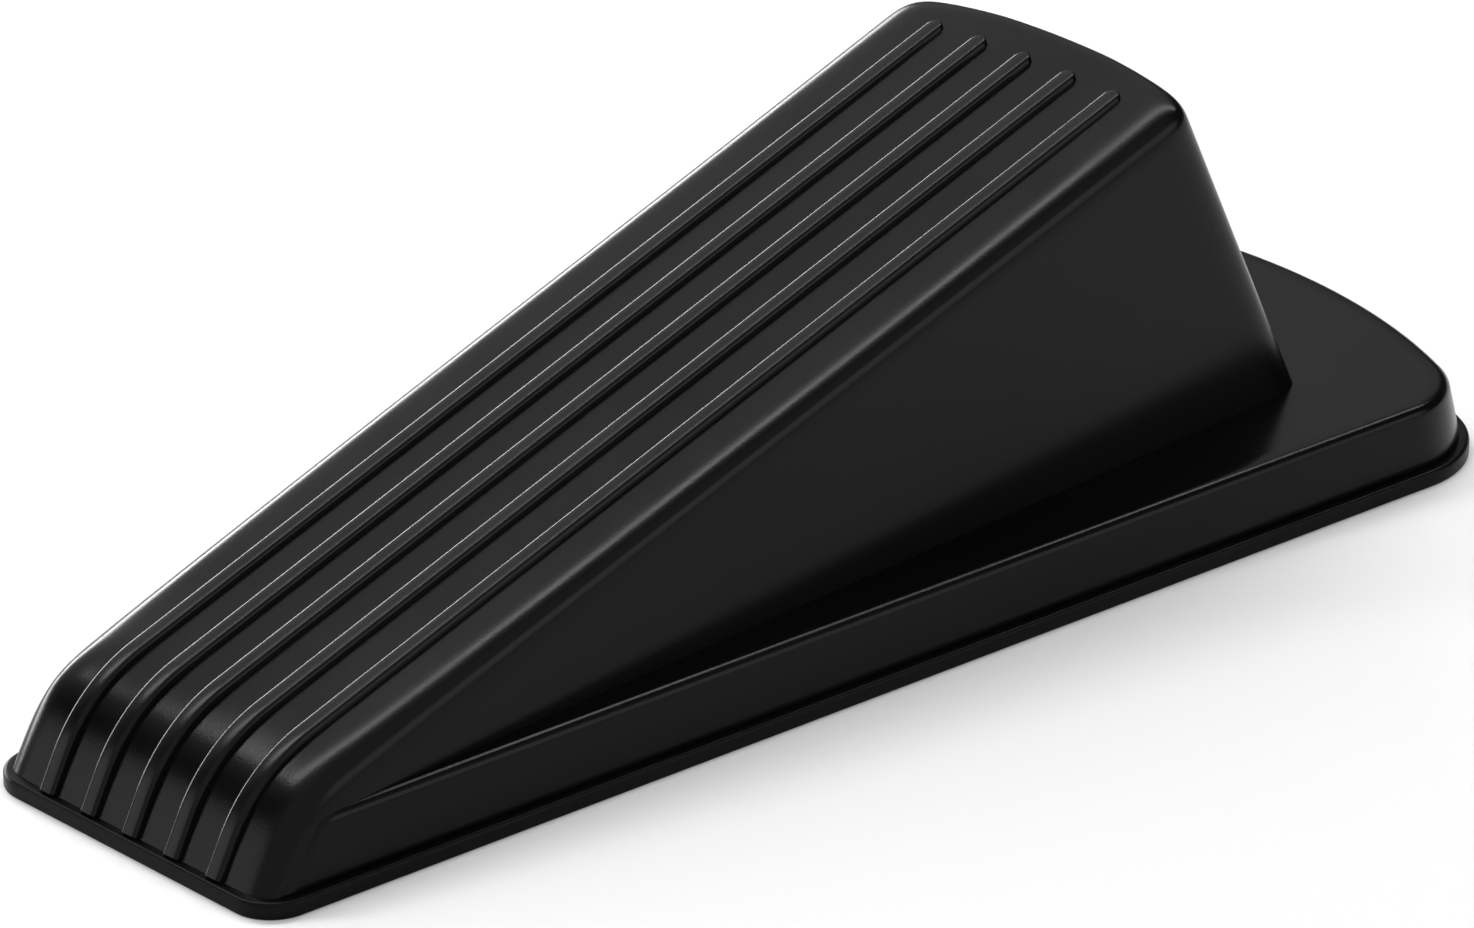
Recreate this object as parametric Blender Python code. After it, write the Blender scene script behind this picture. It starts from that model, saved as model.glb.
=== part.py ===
"""Door stop: a moulded rubber wedge on a broad foot, with five grip ribs and a non-slip sole.

Units are metres. +Z is up, +X is to the right seen from the toe, and the toe points to -Y.
Every piece is built with y measured from the toe's edge, then moved back by half the length,
so the origin is on the floor at the middle of the sole.
Run it with blender --background --python part.py, or from the text editor.
"""

import math

import bmesh
import bpy
from mathutils import Matrix, Vector

MM = 0.001

# The sole's outline, in plan
LENGTH = 171.5 * MM
TOE_HALF_WIDTH = 20.9 * MM      # where the straight sides would meet the toe's edge
SIDE_FLARE = 0.1087             # half width gained for each metre towards the heel
TOE_CORNER = 4.9 * MM
HEEL_CORNER = 12.1 * MM
HEEL_RADIUS = 72.4 * MM

# Sole pad
SOLE_THICKNESS = 1.8 * MM
SOLE_EDGE = 0.35 * MM           # bevel of the upper edge; the floor's edge is crisper
FLOOR_EDGE = 0.15 * MM
TREAD_DEPTH = 0.8 * MM
TREAD_WIDTH = 2.2 * MM
TREAD_PITCH = 7.0 * MM
TREAD_RIM = 5.0 * MM
TREAD_SLANT = 0.30              # rise of a tread groove's arms, for each metre out from the middle
PLAIN_PATCH = 13.0 * MM         # half length of the smooth patch in the middle of the tread
STUD_RADIUS = 3.0 * MM
STUD_HEIGHT = 4.5 * MM
STUD_EDGE = 0.5 * MM
STUD_PLACES = [(0.0, 28.0), (-10.0, 70.0), (10.0, 70.0), (-15.0, 128.0), (15.0, 128.0)]
STUD_SIDES = 20

# Body: the low foot, and the wedge that stands on it
FIT_GAP = 0.3 * MM              # air left between pieces that touch
BODY_BOTTOM = SOLE_THICKNESS + FIT_GAP
LEDGE = 1.1 * MM                # how far the sole shows around the body
FOOT_TOP = 8.8 * MM
FOOT_EDGE = 0.8 * MM
FOOT_DRAFT = 0.10               # how far the foot's wall leans in for each metre of height
HEEL_LEAN = 0.9 * MM            # how much further the heel's wall leans in than the sides' do
FOOT_TOE_CORNER = 5.5 * MM      # at the foot's upper edge; its toe corner is tighter at the sole
TOE_LEAN = math.radians(62.0)   # slope of the toe's face
BEHIND_TOE = 0.35 * MM          # the foot's own toe lies this far behind the wedge's
RAMP_SLOPE = 0.2803
RAMP_START = 10.0 * MM          # height of the ramp's line above the toe's edge
NOSE_RADIUS = 17.0 * MM
CROWN = 2.0                     # drop of the ramp for each square metre off the middle line
CROWN_START = 14.0 * MM         # height from which the whole drop is there
WEDGE_HALF_WIDTH = 20.03 * MM
WEDGE_FLARE = 0.0235
WEDGE_DRAFT = 0.05
REAR_FOOT = 150.2 * MM          # where the rear face meets the foot, from the toe
REAR_LEAN = 0.4384
REAR_BOW = 4.3                  # how much the rear face curves, as CROWN
RAMP_EDGE = 2.4 * MM
REAR_EDGE = 4.0 * MM
REAR_TOP_EDGE = 1.3 * MM

# Grip ribs
RIB_COUNT = 5
RIB_PITCH = 6.2 * MM
RIB_FAN = 0.0020                # pitch gained for each metre towards the heel
RIB_END = 128.4 * MM
RIB_HEIGHT = 0.70 * MM
RIB_CREST = 0.95 * MM           # half widths: on the crest, at the ramp, and at the root's foot
RIB_BASE = 1.02 * MM
RIB_ROOT = 1.35 * MM
RIB_DEPTH = 1.9 * MM

RUBBER = (0.028, 0.027, 0.028, 1.0)
CRISP_ANGLE = math.radians(40.0)  # edges that turn more than this are shaded crisp


def clear_scene():
    for obj in list(bpy.data.objects):
        bpy.data.objects.remove(obj, do_unlink=True)


def rubber(name, color, roughness):
    material = bpy.data.materials.new(name)
    material.use_nodes = True
    shader = material.node_tree.nodes["Principled BSDF"]
    shader.inputs["Base Color"].default_value = color
    shader.inputs["Roughness"].default_value = roughness
    shader.inputs["Metallic"].default_value = 0.0
    return material


def shading_nodes():
    """A node group that shades a mesh smooth and leaves its crisp edges crisp."""
    group = bpy.data.node_groups.new("smooth_by_angle", "GeometryNodeTree")
    group.interface.new_socket("Geometry", in_out="INPUT", socket_type="NodeSocketGeometry")
    group.interface.new_socket("Geometry", in_out="OUTPUT", socket_type="NodeSocketGeometry")
    start = group.nodes.new("NodeGroupInput")
    faces = group.nodes.new("GeometryNodeSetShadeSmooth")
    edges = group.nodes.new("GeometryNodeSetShadeSmooth")
    edges.domain = "EDGE"
    turn = group.nodes.new("GeometryNodeInputMeshEdgeAngle")
    gentle = group.nodes.new("FunctionNodeCompare")
    gentle.operation = "LESS_THAN"
    gentle.inputs["B"].default_value = CRISP_ANGLE
    end = group.nodes.new("NodeGroupOutput")
    group.links.new(turn.outputs["Unsigned Angle"], gentle.inputs["A"])
    group.links.new(gentle.outputs["Result"], edges.inputs["Shade Smooth"])
    group.links.new(start.outputs["Geometry"], faces.inputs["Geometry"])
    group.links.new(faces.outputs["Geometry"], edges.inputs["Geometry"])
    group.links.new(edges.outputs["Geometry"], end.inputs["Geometry"])
    return group


def add_object(name, bm, material=None):
    """Turn a bmesh into an object that stands on the middle of the sole."""
    bmesh.ops.remove_doubles(bm, verts=bm.verts, dist=0.00001)
    bmesh.ops.recalc_face_normals(bm, faces=bm.faces)
    mesh = bpy.data.meshes.new(name)
    bm.to_mesh(mesh)
    bm.free()
    obj = bpy.data.objects.new(name, mesh)
    bpy.context.scene.collection.objects.link(obj)
    obj.location.y = -LENGTH / 2
    if material:
        mesh.materials.append(material)
    return obj


def add_cutter(name, bm):
    cutter = add_object(name, bm)
    cutter.hide_render = True
    cutter.display_type = "WIRE"
    return cutter


def combine(obj, other, operation):
    boolean = obj.modifiers.new(other.name, "BOOLEAN")
    boolean.operation = operation
    boolean.solver = "EXACT"
    boolean.object = other


def skin(bm, rings):
    """Close a stack of rings of equal length into one body."""
    loops = [[bm.verts.new(point) for point in ring] for ring in rings]
    count = len(loops[0])
    for low, high in zip(loops, loops[1:]):
        for i in range(count):
            j = (i + 1) % count
            bm.faces.new((low[i], low[j], high[j], high[i]))
    bm.faces.new(list(reversed(loops[0])))
    bm.faces.new(loops[-1])
    return bm


def arc(centre, radius, start, end, steps):
    span = end - start
    angles = [start + span * i / steps for i in range(steps + 1)]
    return [(centre[0] + radius * math.cos(a), centre[1] + radius * math.sin(a)) for a in angles]


def plan_outline(inset, toe_inset, heel_inset, corner):
    """The sole's outline, drawn in by its insets, with the radius of its toe corners."""
    side = math.atan(SIDE_FLARE)
    wall = TOE_HALF_WIDTH - inset / math.cos(side)
    toe_y = toe_inset + corner
    toe_x = wall + SIDE_FLARE * toe_y - corner / math.cos(side)
    right = arc((toe_x, toe_y), corner, -math.pi / 2, -side, 5)

    big = HEEL_RADIUS - heel_inset
    small = HEEL_CORNER - inset
    big_y = LENGTH - HEEL_RADIUS
    offset_wall = wall - small / math.cos(side)
    a = 1 + SIDE_FLARE**2
    b = 2 * (offset_wall * SIDE_FLARE - big_y)
    c = offset_wall**2 + big_y**2 - (big - small) ** 2
    heel_y = (-b + math.sqrt(b * b - 4 * a * c)) / (2 * a)
    heel_x = offset_wall + SIDE_FLARE * heel_y
    meet = math.atan2(heel_y - big_y, heel_x)
    right += arc((heel_x, heel_y), small, -side, meet, 6)
    right += arc((0.0, big_y), big, meet, math.pi / 2, 5)[1:-1]
    left = [(-x, y) for x, y in reversed(right)]
    return right + [(0.0, big_y + big)] + left


def ring_at(outline, z):
    return [(x, y, z) for x, y in outline]


def toe_face(z):
    """How far behind the toe's edge the toe's face is at a height."""
    return LEDGE + (z - SOLE_THICKNESS) / math.tan(TOE_LEAN)


def ramp_height(y):
    return RAMP_START + RAMP_SLOPE * y


def nose_points(steps):
    """The side view of the toe's face, the round nose and the start of the ramp."""
    slope = math.atan(RAMP_SLOPE)
    toe_rise = math.tan(TOE_LEAN)
    corner_y = (RAMP_START - SOLE_THICKNESS + toe_rise * LEDGE) / (toe_rise - RAMP_SLOPE)
    corner = Vector((corner_y, ramp_height(corner_y)))
    reach = NOSE_RADIUS * math.tan((TOE_LEAN - slope) / 2)
    first = corner - reach * Vector((math.cos(TOE_LEAN), math.sin(TOE_LEAN)))
    centre = first + NOSE_RADIUS * Vector((math.sin(TOE_LEAN), -math.cos(TOE_LEAN)))
    turn = math.pi / 2
    return arc(centre, NOSE_RADIUS, TOE_LEAN + turn, slope + turn, steps)


def crown_drop(x, z):
    """How far the surface lies below its middle line: nothing at the sole, all of it on the ramp."""
    share = min(max((z - BODY_BOTTOM) / (CROWN_START - BODY_BOTTOM), 0.0), 1.0)
    return CROWN * x * x * share


def wedge_side(y, z):
    return WEDGE_HALF_WIDTH + WEDGE_FLARE * y - WEDGE_DRAFT * z


def rib_centre(index, y):
    return (index - (RIB_COUNT - 1) / 2) * (RIB_PITCH + RIB_FAN * y)


def make_foot():
    """The low foot: drafted walls, a rounded upper edge, and a toe that leans like the wedge's."""
    wall_top = FOOT_TOP - FOOT_EDGE
    wall_inset = LEDGE + FOOT_DRAFT * (wall_top - SOLE_THICKNESS)
    levels = [(BODY_BOTTOM - 1.0 * MM, LEDGE + FOOT_DRAFT * (FIT_GAP - 1.0 * MM))]
    for angle in (0.0, math.radians(35), math.radians(65), math.radians(90)):
        rounding = FOOT_EDGE * (1 - math.cos(angle))
        levels.append((wall_top + FOOT_EDGE * math.sin(angle), wall_inset + rounding))
    rings = []
    for z, inset in levels:
        share = (z - SOLE_THICKNESS) / (FOOT_TOP - SOLE_THICKNESS)
        low_corner = TOE_CORNER - LEDGE
        corner = low_corner + (FOOT_TOE_CORNER - low_corner) * share
        outline = plan_outline(inset, toe_face(z) + BEHIND_TOE, inset + HEEL_LEAN * share, corner)
        rings.append(ring_at(outline, z))
    return add_cutter("foot_plate", skin(bmesh.new(), rings))


def wedge_ring(y, z, rear):
    """One row of points across the wedge, for a point of its side view."""
    columns = 3
    points = []
    for step in range(-columns, columns + 1):
        x = wedge_side(y, z) * step / columns
        low = z - crown_drop(x, z)
        back = y - REAR_BOW * x * x if rear else y
        x = wedge_side(back, low) * step / columns
        points.append((x, back, low))
    return points


def make_wedge(material):
    """The wedge: toe's face, round nose, crowned ramp and leaning rear face, with rounded edges."""
    bottom = BODY_BOTTOM - 1.5 * MM
    top_y = (REAR_FOOT + REAR_LEAN * (FOOT_TOP - RAMP_START)) / (1 + REAR_LEAN * RAMP_SLOPE)
    profile = [(toe_face(bottom), bottom, False)]
    profile += [(y, z, False) for y, z in nose_points(8)]
    profile += [(y, ramp_height(y), False) for y in (45 * MM, 90 * MM)]
    profile += [(top_y, ramp_height(top_y), True)]
    profile += [(REAR_FOOT - REAR_LEAN * (bottom - FOOT_TOP), bottom, True)]

    bm = bmesh.new()
    rows = [[bm.verts.new(p) for p in wedge_ring(y, z, rear)] for y, z, rear in profile]
    for here, there in zip(rows, rows[1:] + rows[:1]):
        for i in range(len(here) - 1):
            bm.faces.new((here[i], here[i + 1], there[i + 1], there[i]))
    bm.faces.new([row[0] for row in rows])
    bm.faces.new([row[-1] for row in reversed(rows)])

    weight = bm.edges.layers.float.new("bevel_weight_edge")
    for here, there in zip(rows, rows[1:]):
        radius = REAR_EDGE if there is rows[-1] else RAMP_EDGE
        for side in (0, -1):
            bm.edges.get((here[side], there[side]))[weight] = radius / REAR_EDGE
    for left, right in zip(rows[-2], rows[-2][1:]):
        bm.edges.get((left, right))[weight] = REAR_TOP_EDGE / REAR_EDGE

    wedge = add_object("body", bm, material)
    bevel = wedge.modifiers.new("edges", "BEVEL")
    bevel.limit_method = "WEIGHT"
    bevel.width = REAR_EDGE
    bevel.segments = 3
    bevel.use_clamp_overlap = False
    return wedge


def rib_path(y_end):
    """Points and outward normals of the ramp's line, from under the toe's face to y_end."""
    slope = math.atan(RAMP_SLOPE)
    start = BODY_BOTTOM - 2.5 * MM
    toe_normal = (-math.sin(TOE_LEAN), math.cos(TOE_LEAN))
    ramp_normal = (-math.sin(slope), math.cos(slope))
    steps = 10
    path = [((toe_face(start), start), toe_normal)]
    for i, point in enumerate(nose_points(steps)):
        angle = TOE_LEAN + (slope - TOE_LEAN) * i / steps
        path.append((point, (-math.sin(angle), math.cos(angle))))
    path.append(((y_end, ramp_height(y_end)), ramp_normal))
    return path


def rib_section(scale, gap):
    """Half of a rib's section: half width and height at the crest, the ramp and the root's foot."""
    top = RIB_HEIGHT + gap
    return [
        (scale * (RIB_CREST + gap), top),
        (scale * (RIB_BASE + gap), 0.0),
        (scale * (RIB_ROOT + gap), -RIB_DEPTH - gap),
    ]


def rib_mesh(index, gap):
    """A rib swept down the ramp, over the nose and down the toe; gap makes the groove for it."""
    end_radius = RIB_BASE + gap
    straight_end = RIB_END + gap - end_radius
    path = [(place, normal, 1.0) for place, normal in rib_path(straight_end)]
    direction = Vector((1.0, RAMP_SLOPE)).normalized()
    last_place, last_normal, _scale = path[-1]
    for angle in (math.radians(30), math.radians(55), math.radians(78)):
        place = Vector(last_place) + end_radius * math.sin(angle) * direction
        path.append((tuple(place), last_normal, math.cos(angle)))

    rings = []
    for (y, z), (ny, nz), scale in path:
        x = rib_centre(index, y)
        half = rib_section(scale, gap)
        section = [(u, v) for u, v in half] + [(-u, v) for u, v in reversed(half)]
        rings.append([(x + u, y + ny * v, z - crown_drop(x, z) + nz * v) for u, v in section])
    return skin(bmesh.new(), rings)


def trim_below(bm, z):
    """Cut a mesh level at a height, and close it there."""
    geometry = bm.verts[:] + bm.edges[:] + bm.faces[:]
    found = bmesh.ops.bisect_plane(
        bm, geom=geometry, plane_co=(0, 0, z), plane_no=(0, 0, -1), clear_outer=True
    )
    rim = [item for item in found["geom_cut"] if isinstance(item, bmesh.types.BMEdge)]
    bmesh.ops.holes_fill(bm, edges=rim)


def stud_mesh(gap, bottom):
    """The studs on the sole, or with a gap the sockets for them."""
    bm = bmesh.new()
    radius = STUD_RADIUS + gap
    top = SOLE_THICKNESS + STUD_HEIGHT + gap
    for x, y in STUD_PLACES:
        stud = bmesh.new()
        rings = []
        for ring_radius, z in ((radius, bottom), (radius, top - STUD_EDGE), (radius - STUD_EDGE, top)):
            circle = arc((x * MM, y * MM), ring_radius, 0.0, 2 * math.pi, STUD_SIDES)[:-1]
            rings.append(ring_at(circle, z))
        skin(stud, rings)
        piece = bpy.data.meshes.new("stud")
        stud.to_mesh(piece)
        stud.free()
        bm.from_mesh(piece)
        bpy.data.meshes.remove(piece)
    return bm


def make_body(material):
    """The moulded body: foot and wedge in one, grooved for the ribs and socketed for the sole."""
    body = make_wedge(material)
    combine(body, make_foot(), "UNION")
    floor = bmesh.new()
    bmesh.ops.create_cube(floor, size=1.0)
    size = Matrix.Diagonal((LENGTH, 2 * LENGTH, LENGTH, 1.0))
    drop = Matrix.Translation((0.0, LENGTH / 2, BODY_BOTTOM - LENGTH / 2))
    floor.transform(drop @ size)
    combine(body, add_cutter("floor_trim", floor), "DIFFERENCE")
    for index in range(RIB_COUNT):
        groove = add_cutter(f"rib_groove_{index + 1}", rib_mesh(index, FIT_GAP))
        combine(body, groove, "DIFFERENCE")
    sockets = stud_mesh(FIT_GAP, BODY_BOTTOM - 1 * MM)
    combine(body, add_cutter("stud_sockets", sockets), "DIFFERENCE")
    return body


def chevron(y):
    """One tread groove: a wide V, open side to the heel, as a prism under the sole."""
    reach = TOE_HALF_WIDTH + SIDE_FLARE * y - TREAD_RIM
    lift = TREAD_SLANT * reach
    half = TREAD_WIDTH / 2
    outline = [
        (0.0, y - half),
        (reach, y + lift - half),
        (reach, y + lift + half),
        (0.0, y + half),
        (-reach, y + lift + half),
        (-reach, y + lift - half),
    ]
    return skin(bmesh.new(), [ring_at(outline, -1 * MM), ring_at(outline, TREAD_DEPTH)])


def make_sole(material):
    """The sole pad: its edge shows as a lip all round, its tread grips, its studs key the body."""
    rings = []
    for z, inset in (
        (0.0, FLOOR_EDGE),
        (FLOOR_EDGE, 0.0),
        (SOLE_THICKNESS - SOLE_EDGE, 0.0),
        (SOLE_THICKNESS, SOLE_EDGE),
    ):
        rings.append(ring_at(plan_outline(inset, inset, inset, TOE_CORNER - inset), z))
    sole = add_object("sole_pad", skin(bmesh.new(), rings), material)
    middle = LENGTH / 2
    tread = bmesh.new()
    y = 2 * TREAD_RIM
    while y < LENGTH - 5 * TREAD_RIM:
        if abs(y - middle) > PLAIN_PATCH:
            groove = chevron(y)
            piece = bpy.data.meshes.new("tread")
            groove.to_mesh(piece)
            groove.free()
            tread.from_mesh(piece)
            bpy.data.meshes.remove(piece)
        y += TREAD_PITCH
    combine(sole, add_cutter("tread_grooves", tread), "DIFFERENCE")
    studs = stud_mesh(0.0, SOLE_THICKNESS / 2)
    combine(sole, add_cutter("studs", studs), "UNION")
    return sole


def make_rib(index, material):
    bm = rib_mesh(index, 0.0)
    trim_below(bm, BODY_BOTTOM)
    return add_object(f"grip_rib_{index + 1}", bm, material)


def main():
    clear_scene()
    pieces = [
        make_body(rubber("body_rubber", RUBBER, 0.55)),
        make_sole(rubber("sole_rubber", RUBBER, 0.7)),
    ]
    rib_rubber = rubber("rib_rubber", RUBBER, 0.5)
    pieces += [make_rib(index, rib_rubber) for index in range(RIB_COUNT)]
    shading = shading_nodes()
    for piece in pieces:
        piece.modifiers.new("shading", "NODES").node_group = shading


main()
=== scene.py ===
"""The looks of the door stop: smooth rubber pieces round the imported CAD, a floor and studio light.

Units are metres, in the CAD's frame: +Z up, the toe towards -Y, the origin mid-length on the floor.
The pieces are built with y measured from the toe's edge, then moved back by half the length.
"""

import math

import bmesh
import bpy
from mathutils import Matrix, Vector


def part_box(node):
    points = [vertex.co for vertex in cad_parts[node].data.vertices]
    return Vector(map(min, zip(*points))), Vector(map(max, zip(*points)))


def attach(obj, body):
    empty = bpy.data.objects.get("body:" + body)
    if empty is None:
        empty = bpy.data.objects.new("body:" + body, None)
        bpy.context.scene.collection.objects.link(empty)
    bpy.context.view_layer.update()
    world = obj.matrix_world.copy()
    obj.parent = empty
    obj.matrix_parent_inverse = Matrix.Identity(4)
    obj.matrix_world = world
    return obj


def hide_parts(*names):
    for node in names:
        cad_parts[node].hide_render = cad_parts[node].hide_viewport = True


MM = 0.001
CRISP_ANGLE = math.radians(35.0)  # edges sharper than this are shaded crisp

# The sole's outline, in plan
TOE_HALF_WIDTH = 20.9 * MM
SIDE_FLARE = 0.1087
TOE_CORNER = 4.9 * MM
HEEL_CORNER = 12.1 * MM
HEEL_RADIUS = 72.4 * MM

# Sole pad
SOLE_THICKNESS = 1.8 * MM
LIP_EDGE = 0.45 * MM
FLOOR_EDGE = 0.2 * MM
TREAD_DEPTH = 0.8 * MM
TREAD_WIDTH = 2.2 * MM
TREAD_PITCH = 7.0 * MM
TREAD_RIM = 5.0 * MM
TREAD_SLANT = 0.30
PLAIN_PATCH = 13.0 * MM

# Foot
SEAM = 0.03 * MM                # air between the body and the sole
BODY_BOTTOM = SOLE_THICKNESS + SEAM
BODY_EDGE = 0.25 * MM           # rounding of the body's lower edge
LEDGE = 1.1 * MM
FOOT_TOP = 8.8 * MM
FOOT_EDGE = 1.2 * MM
FOOT_DRAFT = 0.10
HEEL_LEAN = 0.9 * MM
FOOT_TOE_CORNER = 5.5 * MM
BEHIND_TOE = 0.9 * MM

# Wedge
TOE_LEAN = math.radians(62.0)
RAMP_SLOPE = 0.2803
RAMP_START = 10.0 * MM
NOSE_RADIUS = 17.0 * MM
CROWN = 2.0
CROWN_START = 14.0 * MM
WEDGE_HALF_WIDTH = 20.03 * MM
WEDGE_FLARE = 0.0235
WEDGE_DRAFT = 0.05
REAR_FOOT = 150.2 * MM
REAR_LEAN = 0.4384
REAR_BOW = 4.3
BURIED = -12.0 * MM             # depth that the wedge's cage reaches, to be cut off level

# How far from each edge the cage's nearer holding line runs: the edge's radius is about half of it
NOSE_HOLD = 11.4 * MM
TOE_HOLD = 5.5 * MM
RAMP_HOLD = 3.5 * MM
REAR_HOLD = 6.0 * MM
REAR_TOP_HOLD = 1.9 * MM

# Steps of the wedge's cage: fixed shares of the block, or how many holding distances from an edge
A_HOLDS = [0, 1, 2, 0, 0, 0, -2, -1, 0]
A_STEPS = [0, 0.08, 0.16, 0.3, 0.5, 0.75, 0.9, 0.95, 1]
B_HOLDS = [0, -1, -2, 0, 0, 0, 2, 1, 0]
B_STEPS = [-1, -0.8, -0.6, -0.3, 0, 0.3, 0.6, 0.8, 1]
C_HOLDS = [0, 0, 2, 1, 0]
C_STEPS = [0, 0.3, 0.6, 0.8, 1]

# Grip ribs
RIB_COUNT = 5
RIB_PITCH = 6.2 * MM
RIB_FAN = 0.0020
RIB_END = 128.4 * MM
RIB_HEIGHT = 0.70 * MM
RIB_CREST = 1.06 * MM
RIB_BASE = 1.16 * MM
RIB_EDGE = 0.42 * MM
RIB_SUNK = 0.6 * MM

# Colours
BODY_COLOR = (0.0022, 0.0021, 0.0022, 1.0)
SOLE_COLOR = (0.0026, 0.0025, 0.0026, 1.0)
DUSTY = 1.35                    # how much lighter the dusty patches are
FLOOR_COLOR = (0.86, 0.86, 0.86, 1.0)

FLOOR_RADIUS = 4.0

# Studio light: directions towards each soft box, and strengths
GLOW_SIDE = (-0.64, 0.24, 0.73)
GLOW_LIGHT = 1.15
CEILING_LIGHT = 0.03
HORIZON_LIGHT = 0.8
STRIP_MIDDLE = (-0.38, 0.30, 0.87)
STRIP_ACROSS = (-0.713, 0.520, -0.470)
STRIP_REACH = 0.80
STRIP_HALF_WIDTH = 0.06
STRIP_LIGHT = 12.0
STRIP_END_FADE = 0.06
BACK_SIDE = (0.80, 0.47, 0.33)
BACK_LIGHT = 1.9
RIM_MIDDLE = (-0.98, 0.08, 0.18)
RIM_ACROSS = (0.155, -0.236, 0.959)
RIM_REACH = 0.87
RIM_HALF_WIDTH = 0.10
RIM_LIGHT = 19.0
FRONT_SIDE = (-0.637, -0.74, 0.20)
FRONT_LIGHT = 2.3
FILL_SIDE = (0.60, -0.60, 0.50)
FILL_LIGHT = 0.8

# Camera
AIM = Vector((1.95, -2.62, 14.58)) * MM
AZIMUTH = math.radians(45.42)
ELEVATION = math.radians(26.50)
ROLL = math.radians(-0.143)
DISTANCE = 908.3 * MM
LENS = 213.87


def arc(centre, radius, start, end, steps):
    span = end - start
    angles = [start + span * i / steps for i in range(steps + 1)]
    return [(centre[0] + radius * math.cos(a), centre[1] + radius * math.sin(a)) for a in angles]


def add_object(name, bm):
    bmesh.ops.recalc_face_normals(bm, faces=bm.faces)
    mesh = bpy.data.meshes.new(name)
    bm.to_mesh(mesh)
    bm.free()
    obj = bpy.data.objects.new(name, mesh)
    bpy.context.scene.collection.objects.link(obj)
    return obj


def skin(bm, rings):
    """Join rings of equal length with faces, and close both ends."""
    loops = [[bm.verts.new(point) for point in ring] for ring in rings]
    count = len(loops[0])
    for low, high in zip(loops, loops[1:]):
        for i in range(count):
            j = (i + 1) % count
            bm.faces.new((low[i], low[j], high[j], high[i]))
    bm.faces.new(list(reversed(loops[0])))
    bm.faces.new(loops[-1])
    return bm


def combine(obj, other, operation):
    boolean = obj.modifiers.new(other.name, "BOOLEAN")
    boolean.operation = operation
    boolean.solver = "EXACT"
    boolean.object = other


def freeze(obj):
    """Apply the modifiers, shade with crisp edges, and stand the piece in the CAD's frame."""
    graph = bpy.context.evaluated_depsgraph_get()
    mesh = bpy.data.meshes.new_from_object(obj.evaluated_get(graph))
    for modifier in list(obj.modifiers):
        cutter = getattr(modifier, "object", None)
        obj.modifiers.remove(modifier)
        if cutter:
            bpy.data.objects.remove(cutter, do_unlink=True)
    obj.data = mesh
    mesh.transform(Matrix.Translation((0.0, -LENGTH / 2, 0.0)))
    mesh.shade_smooth()
    mesh.set_sharp_from_angle(angle=CRISP_ANGLE)
    return obj


def plan_outline(inset, toe_inset, heel_inset, corner):
    """The outline from above, drawn in by its insets, anticlockwise from the toe's right."""
    side = math.atan(SIDE_FLARE)
    wall = TOE_HALF_WIDTH - inset / math.cos(side)
    toe_y = toe_inset + corner
    toe_x = wall + SIDE_FLARE * toe_y - corner / math.cos(side)
    right = arc((toe_x, toe_y), corner, -math.pi / 2, -side, 14)
    big = HEEL_RADIUS - heel_inset
    small = HEEL_CORNER - inset
    big_y = LENGTH - HEEL_RADIUS
    offset_wall = wall - small / math.cos(side)
    a = 1 + SIDE_FLARE**2
    b = 2 * (offset_wall * SIDE_FLARE - big_y)
    c = offset_wall**2 + big_y**2 - (big - small) ** 2
    heel_y = (-b + math.sqrt(b * b - 4 * a * c)) / (2 * a)
    heel_x = offset_wall + SIDE_FLARE * heel_y
    meet = math.atan2(heel_y - big_y, heel_x)
    right += arc((heel_x, heel_y), small, -side, meet, 20)
    right += arc((0.0, big_y), big, meet, math.pi / 2, 16)[1:-1]
    left = [(-x, y) for x, y in reversed(right)]
    return right + [(0.0, big_y + big)] + left


def ring_at(outline, z):
    return [(x, y, z) for x, y in outline]


def toe_face(z):
    return LEDGE + (z - SOLE_THICKNESS) / math.tan(TOE_LEAN)


def ramp_height(y):
    return RAMP_START + RAMP_SLOPE * y


def nose_corner():
    """Where the toe face and the ramp would meet without the nose's rounding."""
    toe_rise = math.tan(TOE_LEAN)
    y = (RAMP_START - SOLE_THICKNESS + toe_rise * LEDGE) / (toe_rise - RAMP_SLOPE)
    return Vector((y, ramp_height(y)))


def nose_points(steps):
    """The nose's arc in side view, from the toe face to the ramp."""
    slope = math.atan(RAMP_SLOPE)
    reach = NOSE_RADIUS * math.tan((TOE_LEAN - slope) / 2)
    first = nose_corner() - reach * Vector((math.cos(TOE_LEAN), math.sin(TOE_LEAN)))
    centre = first + NOSE_RADIUS * Vector((math.sin(TOE_LEAN), -math.cos(TOE_LEAN)))
    turn = math.pi / 2
    return arc(centre, NOSE_RADIUS, TOE_LEAN + turn, slope + turn, steps)


def crown_drop(x, z):
    """How far the crowned ramp falls off to the sides; none at the bottom, all at CROWN_START."""
    share = min(max((z - BODY_BOTTOM) / (CROWN_START - BODY_BOTTOM), 0.0), 1.0)
    return CROWN * x * x * share


def wedge_side(y, z):
    return WEDGE_HALF_WIDTH + WEDGE_FLARE * y - WEDGE_DRAFT * z


def mix(a, b, share):
    return a + (b - a) * share


def wedge_lattice(a, b, c):
    """A point of the wedge's block: a runs toe to rear, b left to right, c bottom to top."""
    rear_y = (REAR_FOOT + REAR_LEAN * (FOOT_TOP - RAMP_START)) / (1 + REAR_LEAN * RAMP_SLOPE)
    low_toe = Vector((toe_face(BURIED), BURIED))
    low_rear = Vector((REAR_FOOT - REAR_LEAN * (BURIED - FOOT_TOP), BURIED))
    high_rear = Vector((rear_y, ramp_height(rear_y)))
    y, z = low_toe.lerp(low_rear, a).lerp(nose_corner().lerp(high_rear, a), c)
    x = b * wedge_side(y, z)
    z -= crown_drop(x, z)
    y -= REAR_BOW * x * x * max(0.0, a * 4 - 3)
    return (b * wedge_side(y, z), y, z)


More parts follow.
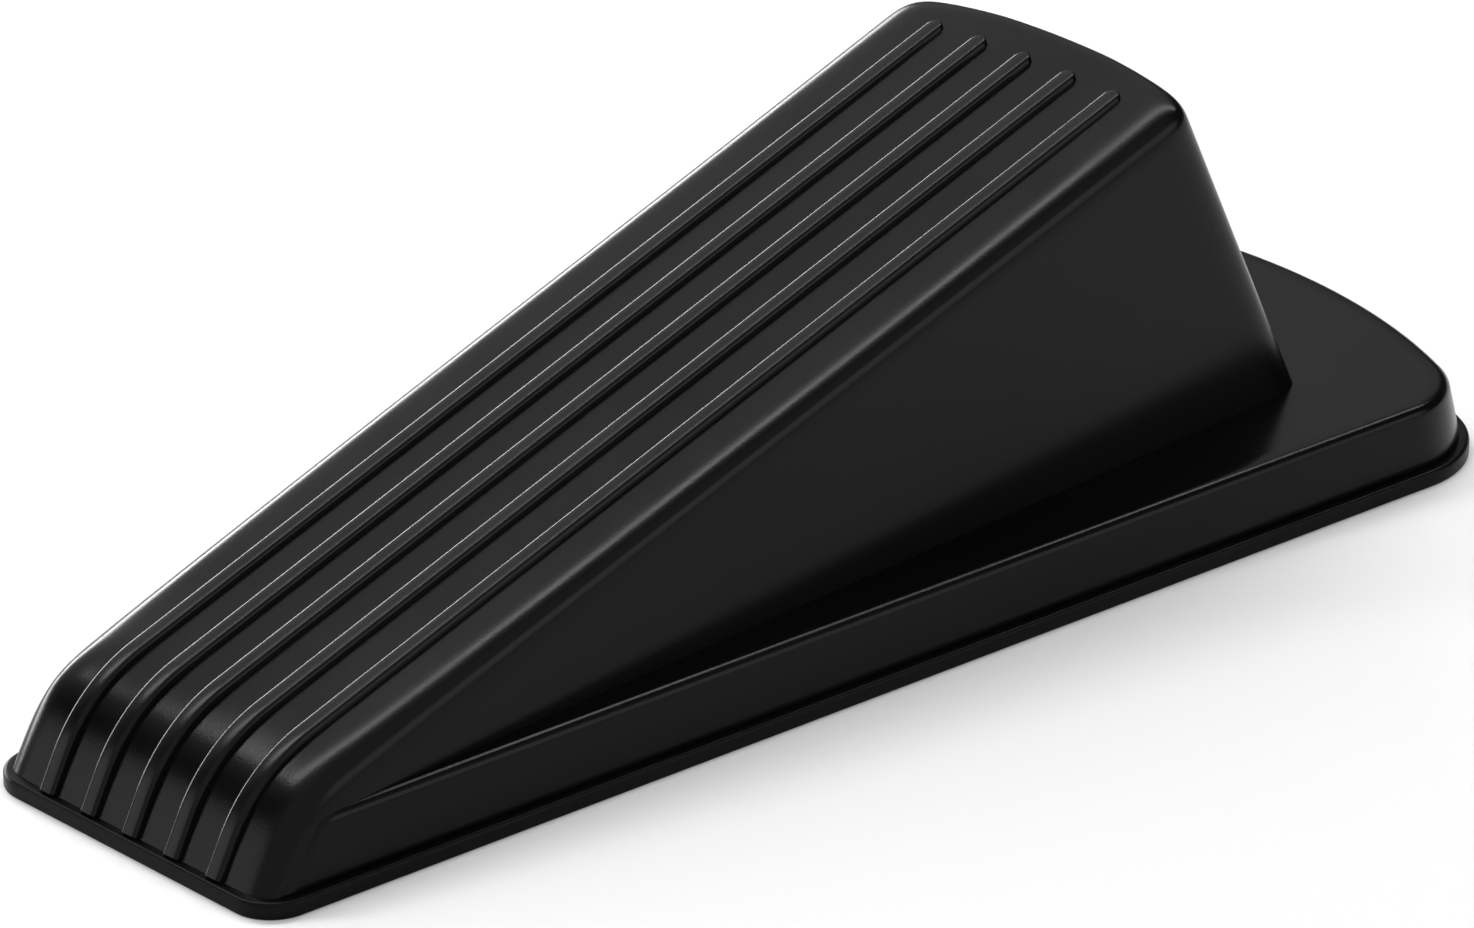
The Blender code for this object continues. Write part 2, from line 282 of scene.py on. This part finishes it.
def wedge_spans(a, b, c):
    """The block's three sizes through a point, from end to end."""
    ends = []
    for low, high in (((0, b, c), (1, b, c)), ((a, -1, c), (a, 1, c)), ((a, b, 0), (a, b, 1))):
        ends.append((Vector(wedge_lattice(*high)) - Vector(wedge_lattice(*low))).length)
    return ends


def hold_distances(a, b, c):
    """How far the holding lines run from the toe, rear, side and top edges near a point."""
    outer = b**6
    toe = mix(NOSE_HOLD, TOE_HOLD, outer)
    rear = mix(REAR_HOLD, mix(REAR_TOP_HOLD, REAR_HOLD, outer), c**6)
    side = mix(mix(RAMP_HOLD, TOE_HOLD, (1 - a) ** 12), REAR_HOLD, a**12)
    top = mix(mix(RAMP_HOLD, NOSE_HOLD, (1 - a) ** 12), mix(REAR_TOP_HOLD, RAMP_HOLD, outer), a**12)
    return toe, rear, side, top


def cage_point(i, j, k):
    """The cage's point for its step along, across and up, placed by the holding distances."""
    a, b, c = A_STEPS[i], B_STEPS[j], C_STEPS[k]
    for _ in range(2):
        along, across, up = wedge_spans(a, b, c)
        toe, rear, side, top = hold_distances(a, b, c)
        if A_HOLDS[i]:
            a = A_HOLDS[i] * toe / along if A_HOLDS[i] > 0 else 1 + A_HOLDS[i] * rear / along
        if B_HOLDS[j]:
            b = math.copysign(1 - 2 * abs(B_HOLDS[j]) * side / across, B_HOLDS[j])
        if C_HOLDS[k]:
            c = 1 - C_HOLDS[k] * top / up
    return wedge_lattice(a, b, c)


def make_wedge():
    """The wedge, as a subdivided cage whose holding lines set how round each edge is."""
    bm = bmesh.new()
    points = {}
    last = (len(A_STEPS) - 1, len(B_STEPS) - 1, len(C_STEPS) - 1)

    def point(*key):
        if key not in points:
            points[key] = bm.verts.new(cage_point(*key))
        return points[key]

    for fixed in range(3):
        u, v = [axis for axis in range(3) if axis != fixed]
        for end in (0, last[fixed]):
            for p in range(last[u]):
                for q in range(last[v]):
                    face = []
                    for du, dv in ((0, 0), (1, 0), (1, 1), (0, 1)):
                        key = [0, 0, 0]
                        key[fixed], key[u], key[v] = end, p + du, q + dv
                        face.append(point(*key))
                    bm.faces.new(face)
    wedge = add_object("body_shell", bm)
    smooth = wedge.modifiers.new("smooth", "SUBSURF")
    smooth.levels = 3
    smooth.render_levels = 3
    return wedge


def make_foot():
    """The low foot: rings of the plan outline that draw in as they rise, with rounded edges."""
    wall_top = FOOT_TOP - FOOT_EDGE
    levels = [(BODY_BOTTOM, LEDGE + 3 * BODY_EDGE)]
    for step in range(4):
        angle = math.radians(30 * step)
        z = BODY_BOTTOM + BODY_EDGE * (1 - math.cos(angle))
        levels.append((z, LEDGE + BODY_EDGE * (1 - math.sin(angle))))
    top_inset = LEDGE + FOOT_DRAFT * (wall_top - SOLE_THICKNESS)
    for step in range(7):
        angle = math.radians(15 * step)
        z = wall_top + FOOT_EDGE * math.sin(angle)
        levels.append((z, top_inset + FOOT_EDGE * (1 - math.cos(angle))))
    levels.append((FOOT_TOP, top_inset + 2 * FOOT_EDGE))
    rings = []
    for z, inset in levels:
        share = (z - SOLE_THICKNESS) / (FOOT_TOP - SOLE_THICKNESS)
        low_corner = TOE_CORNER - 2 * LEDGE
        corner = low_corner + (FOOT_TOE_CORNER - low_corner) * share
        toe = toe_face(z) + BEHIND_TOE + max(0.0, inset - top_inset)
        outline = plan_outline(inset, toe, inset + HEEL_LEAN * share, corner)
        rings.append(ring_at(outline, z))
    return add_object("foot", skin(bmesh.new(), rings))


def make_body():
    """The wedge and foot as one moulding, cut off level above the sole."""
    body = make_wedge()
    combine(body, make_foot(), "UNION")
    box = bmesh.new()
    bmesh.ops.create_cube(box, size=1.0)
    place = Matrix.Translation((0, LENGTH / 2, BODY_BOTTOM - LENGTH))
    box.transform(place @ Matrix.Scale(2 * LENGTH, 4))
    combine(body, add_object("below", box), "DIFFERENCE")
    return freeze(body)


def rib_centre(index, y):
    return (index - (RIB_COUNT - 1) / 2) * (RIB_PITCH + RIB_FAN * y)


def rib_path(y_end):
    """Places and normals in side view: up the toe from the lip, round the nose, up the ramp."""
    slope = math.atan(RAMP_SLOPE)
    toe_normal = (-math.sin(TOE_LEAN), math.cos(TOE_LEAN))
    ramp_normal = (-math.sin(slope), math.cos(slope))
    steps = 24
    path = [((toe_face(BODY_BOTTOM), BODY_BOTTOM), toe_normal)]
    for i, point in enumerate(nose_points(steps)):
        angle = TOE_LEAN + (slope - TOE_LEAN) * i / steps
        path.append((point, (-math.sin(angle), math.cos(angle))))
    first = path[-1][0][0]
    for i in range(1, 13):
        y = first + (y_end - first) * i / 12
        path.append(((y, ramp_height(y)), ramp_normal))
    return path


def rib_section(scale):
    """Half of a rib's section, from its rounded crest edge down: half width and height."""
    half = []
    for angle in (90, 65, 40, 15):
        turn = math.radians(angle)
        u = RIB_CREST - RIB_EDGE + RIB_EDGE * math.cos(turn)
        half.append((u * scale, RIB_HEIGHT - RIB_EDGE * (1 - math.sin(turn))))
    half.append((RIB_BASE * scale, 0.0))
    half.append((RIB_BASE * scale, -RIB_SUNK))
    return half


def make_rib(index):
    """One grip rib: its section along the path, ending in a round nose."""
    straight_end = RIB_END - RIB_BASE
    path = [(place, normal, 1.0) for place, normal in rib_path(straight_end)]
    direction = Vector((1.0, RAMP_SLOPE)).normalized()
    last_place, last_normal = path[-1][:2]
    for step in range(1, 9):
        angle = math.radians(90 * step / 8.4)
        place = Vector(last_place) + RIB_BASE * math.sin(angle) * direction
        path.append((tuple(place), last_normal, math.cos(angle)))
    rings = []
    for (y, z), (ny, nz), scale in path:
        x = rib_centre(index, y)
        half = rib_section(scale)
        section = [(u, v) for u, v in half] + [(-u, v) for u, v in reversed(half)]
        rings.append([(x + u, y + ny * v, z - crown_drop(x, z) + nz * v) for u, v in section])
    return freeze(add_object(f"rib_{index + 1}", skin(bmesh.new(), rings)))


def chevron(y):
    """The cutter of one tread groove, whose middle is y from the toe."""
    reach = TOE_HALF_WIDTH + SIDE_FLARE * y - TREAD_RIM
    lift = TREAD_SLANT * reach
    half = TREAD_WIDTH / 2
    outline = [
        (0.0, y - half),
        (reach, y + lift - half),
        (reach, y + lift + half),
        (0.0, y + half),
        (-reach, y + lift + half),
        (-reach, y + lift - half),
    ]
    return skin(bmesh.new(), [ring_at(outline, -1 * MM), ring_at(outline, TREAD_DEPTH)])


def make_sole():
    """The sole: rings of the plan outline with rounded edges, and chevron grooves from below."""
    levels = [(0.0, 3 * FLOOR_EDGE)]
    for step in range(4):
        angle = math.radians(30 * step)
        levels.append((FLOOR_EDGE * (1 - math.cos(angle)), FLOOR_EDGE * (1 - math.sin(angle))))
    for step in range(7):
        angle = math.radians(15 * step)
        z = SOLE_THICKNESS - LIP_EDGE + LIP_EDGE * math.sin(angle)
        levels.append((z, LIP_EDGE * (1 - math.cos(angle))))
    levels.append((SOLE_THICKNESS, 2 * LIP_EDGE))
    rings = []
    for z, inset in levels:
        rings.append(ring_at(plan_outline(inset, inset, inset, TOE_CORNER - inset), z))
    sole = add_object("sole_skin", skin(bmesh.new(), rings))
    middle = LENGTH / 2
    tread = bmesh.new()
    y = 2 * TREAD_RIM
    while y < LENGTH - 5 * TREAD_RIM:
        if abs(y - middle) > PLAIN_PATCH:
            groove = chevron(y)
            piece = bpy.data.meshes.new("tread")
            groove.to_mesh(piece)
            groove.free()
            tread.from_mesh(piece)
            bpy.data.meshes.remove(piece)
        y += TREAD_PITCH
    combine(sole, add_object("tread_grooves", tread), "DIFFERENCE")
    return freeze(sole)


def rubber(name, color, roughness, grain, shine):
    """Satin moulded rubber: a fine grain, cloudy changes of gloss, and faintly dusty colour."""
    material = bpy.data.materials.new(name)
    material.use_nodes = True
    nodes = material.node_tree.nodes
    links = material.node_tree.links
    shader = nodes["Principled BSDF"]
    shader.inputs["Specular IOR Level"].default_value = shine
    place = nodes.new("ShaderNodeTexCoord")

    def noise(scale, detail):
        node = nodes.new("ShaderNodeTexNoise")
        node.inputs["Scale"].default_value = scale
        node.inputs["Detail"].default_value = detail
        links.new(place.outputs["Object"], node.inputs["Vector"])
        return node.outputs["Fac"]

    def ramp(source, low, high, start, end):
        node = nodes.new("ShaderNodeMapRange")
        links.new(source, node.inputs["Value"])
        node.inputs["From Min"].default_value = low
        node.inputs["From Max"].default_value = high
        node.inputs["To Min"].default_value = start
        node.inputs["To Max"].default_value = end
        return node.outputs["Result"]

    clouds = noise(60.0, 4.0)
    varied = ramp(clouds, 0.3, 0.7, roughness - 0.03, roughness + 0.04)
    links.new(varied, shader.inputs["Roughness"])
    tint = nodes.new("ShaderNodeMix")
    tint.data_type = "RGBA"
    links.new(ramp(noise(25.0, 6.0), 0.35, 0.7, 0.0, 1.0), tint.inputs["Factor"])
    tint.inputs["A"].default_value = color
    tint.inputs["B"].default_value = tuple(DUSTY * channel for channel in color[:3]) + (1.0,)
    links.new(tint.outputs["Result"], shader.inputs["Base Color"])
    bump = nodes.new("ShaderNodeBump")
    bump.inputs["Strength"].default_value = grain
    bump.inputs["Distance"].default_value = 0.05 * MM
    links.new(noise(3500.0, 2.0), bump.inputs["Height"])
    links.new(bump.outputs["Normal"], shader.inputs["Normal"])
    return material


def dress(piece, material, slot, *nodes):
    piece.data.materials.clear()
    piece.data.materials.append(material)
    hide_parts(*nodes)
    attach(piece, "root")


def make_floor():
    """A wide floor, open under the sole and clear from below, which bares the underside."""
    bm = bmesh.new()
    outline = plan_outline(LEDGE, LEDGE, LEDGE, TOE_CORNER - LEDGE)
    hole = [Vector((x, y - LENGTH / 2, 0.0)) for x, y in outline]
    inner = [bm.verts.new(point) for point in hole]
    outer = [bm.verts.new(point.normalized() * FLOOR_RADIUS) for point in hole]
    for i in range(len(hole)):
        j = (i + 1) % len(hole)
        bm.faces.new((inner[j], inner[i], outer[i], outer[j]))
    floor = add_object("floor", bm)
    if floor.data.polygons[0].normal.z < 0:
        floor.data.flip_normals()
    material = bpy.data.materials.new("floor")
    material.use_nodes = True
    nodes = material.node_tree.nodes
    links = material.node_tree.links
    shader = nodes["Principled BSDF"]
    shader.inputs["Base Color"].default_value = FLOOR_COLOR
    shader.inputs["Roughness"].default_value = 0.9
    shader.inputs["Specular IOR Level"].default_value = 0.1
    side = nodes.new("ShaderNodeNewGeometry")
    clear = nodes.new("ShaderNodeBsdfTransparent")
    one_sided = nodes.new("ShaderNodeMixShader")
    links.new(side.outputs["Backfacing"], one_sided.inputs["Fac"])
    links.new(shader.outputs["BSDF"], one_sided.inputs[1])
    links.new(clear.outputs["BSDF"], one_sided.inputs[2])
    links.new(one_sided.outputs["Shader"], nodes["Material Output"].inputs["Surface"])
    floor.data.materials.append(material)


def make_light():
    """A studio made in the world: soft boxes by direction, and a fill for the floor."""
    world = bpy.data.worlds.new("studio")
    world.use_nodes = True
    nodes = world.node_tree.nodes
    links = world.node_tree.links
    place = nodes.new("ShaderNodeTexCoord")

    def math_node(operation, *values):
        node = nodes.new("ShaderNodeMath")
        node.operation = operation
        for socket, value in zip(node.inputs, values):
            links.new(value, socket)
        return node.outputs["Value"]

    def toward(direction):
        """The cosine between a ray and a direction."""
        dot = nodes.new("ShaderNodeVectorMath")
        dot.operation = "DOT_PRODUCT"
        dot.inputs[1].default_value = Vector(direction).normalized()
        links.new(place.outputs["Generated"], dot.inputs[0])
        return dot.outputs["Value"]

    def fade(value, start, end, first, last):
        share = nodes.new("ShaderNodeMapRange")
        share.interpolation_type = "SMOOTHSTEP"
        share.inputs["From Min"].default_value = start
        share.inputs["From Max"].default_value = end
        share.inputs["To Min"].default_value = first
        share.inputs["To Max"].default_value = last
        links.new(value, share.inputs["Value"])
        return share.outputs["Result"]

    def glow(direction, start, end, dim, bright):
        """A round soft box: light that grows as a ray turns towards a direction."""
        return fade(toward(direction), start, end, dim, bright)

    def strip(middle, across, reach, half_width, strength):
        """A long soft box: bright near a great circle, as far as some way from its middle."""
        off = math_node("ABSOLUTE", toward(across))
        edge = fade(off, 0.5 * half_width, 1.5 * half_width, strength, 0.0)
        along = glow(middle, reach, reach + STRIP_END_FADE, 0.0, 1.0)
        return math_node("MULTIPLY", edge, along)

    total = glow(GLOW_SIDE, 0.70, 1.0, CEILING_LIGHT, GLOW_LIGHT)
    for light in (
        glow((0, 0, -1), -0.04, 0.0, 0.0, HORIZON_LIGHT),
        strip(STRIP_MIDDLE, STRIP_ACROSS, STRIP_REACH, STRIP_HALF_WIDTH, STRIP_LIGHT),
        glow(BACK_SIDE, 0.94, 0.985, 0.0, BACK_LIGHT),
        strip(RIM_MIDDLE, RIM_ACROSS, RIM_REACH, RIM_HALF_WIDTH, RIM_LIGHT),
        glow(FRONT_SIDE, 0.95, 0.985, 0.0, FRONT_LIGHT),
        glow(FILL_SIDE, 0.2, 0.6, 0.0, FILL_LIGHT),
    ):
        total = math_node("ADD", total, light)
    links.new(total, nodes["Background"].inputs["Strength"])
    nodes["Background"].inputs["Color"].default_value = (1.0, 1.0, 1.0, 1.0)
    bpy.context.scene.world = world


def make_camera():
    data = bpy.data.cameras.new("camera")
    data.lens = LENS
    data.sensor_width = 36.0
    data.clip_start, data.clip_end = 0.05, 20.0
    camera = bpy.data.objects.new("camera", data)
    flat = math.cos(ELEVATION)
    back = Vector((math.sin(AZIMUTH) * flat, -math.cos(AZIMUTH) * flat, math.sin(ELEVATION)))
    right = Vector((math.cos(AZIMUTH), math.sin(AZIMUTH), 0.0))
    up = back.cross(right)
    turn = Matrix((right, up, back)).transposed() @ Matrix.Rotation(ROLL, 3, "Z")
    camera.matrix_world = Matrix.Translation(AIM + back * DISTANCE) @ turn.to_4x4()
    bpy.context.scene.collection.objects.link(camera)
    bpy.context.scene.camera = camera


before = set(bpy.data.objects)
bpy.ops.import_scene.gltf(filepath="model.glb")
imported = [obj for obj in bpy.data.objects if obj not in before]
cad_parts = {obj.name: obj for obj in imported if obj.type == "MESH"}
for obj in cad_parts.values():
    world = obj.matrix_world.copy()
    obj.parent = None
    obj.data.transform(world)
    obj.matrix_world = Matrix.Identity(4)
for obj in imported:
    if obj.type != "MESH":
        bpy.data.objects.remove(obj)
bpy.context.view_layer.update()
sole_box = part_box("sole_pad")
LENGTH = sole_box[1].y - sole_box[0].y

make_camera()
make_light()
make_floor()

body_rubber = rubber("body_rubber", BODY_COLOR, 0.19, 0.20, 0.105)
rib_rubber = rubber("rib_rubber", BODY_COLOR, 0.21, 0.13, 0.13)
sole_rubber = rubber("sole_rubber", SOLE_COLOR, 0.30, 0.30, 0.07)
dress(make_body(), body_rubber, "body_rubber", "body")
dress(make_sole(), sole_rubber, "sole_rubber", "sole_pad")
for index in range(RIB_COUNT):
    dress(make_rib(index), rib_rubber, "rib_rubber", f"grip_rib_{index + 1}")

bpy.context.scene.view_settings.view_transform = "Standard"
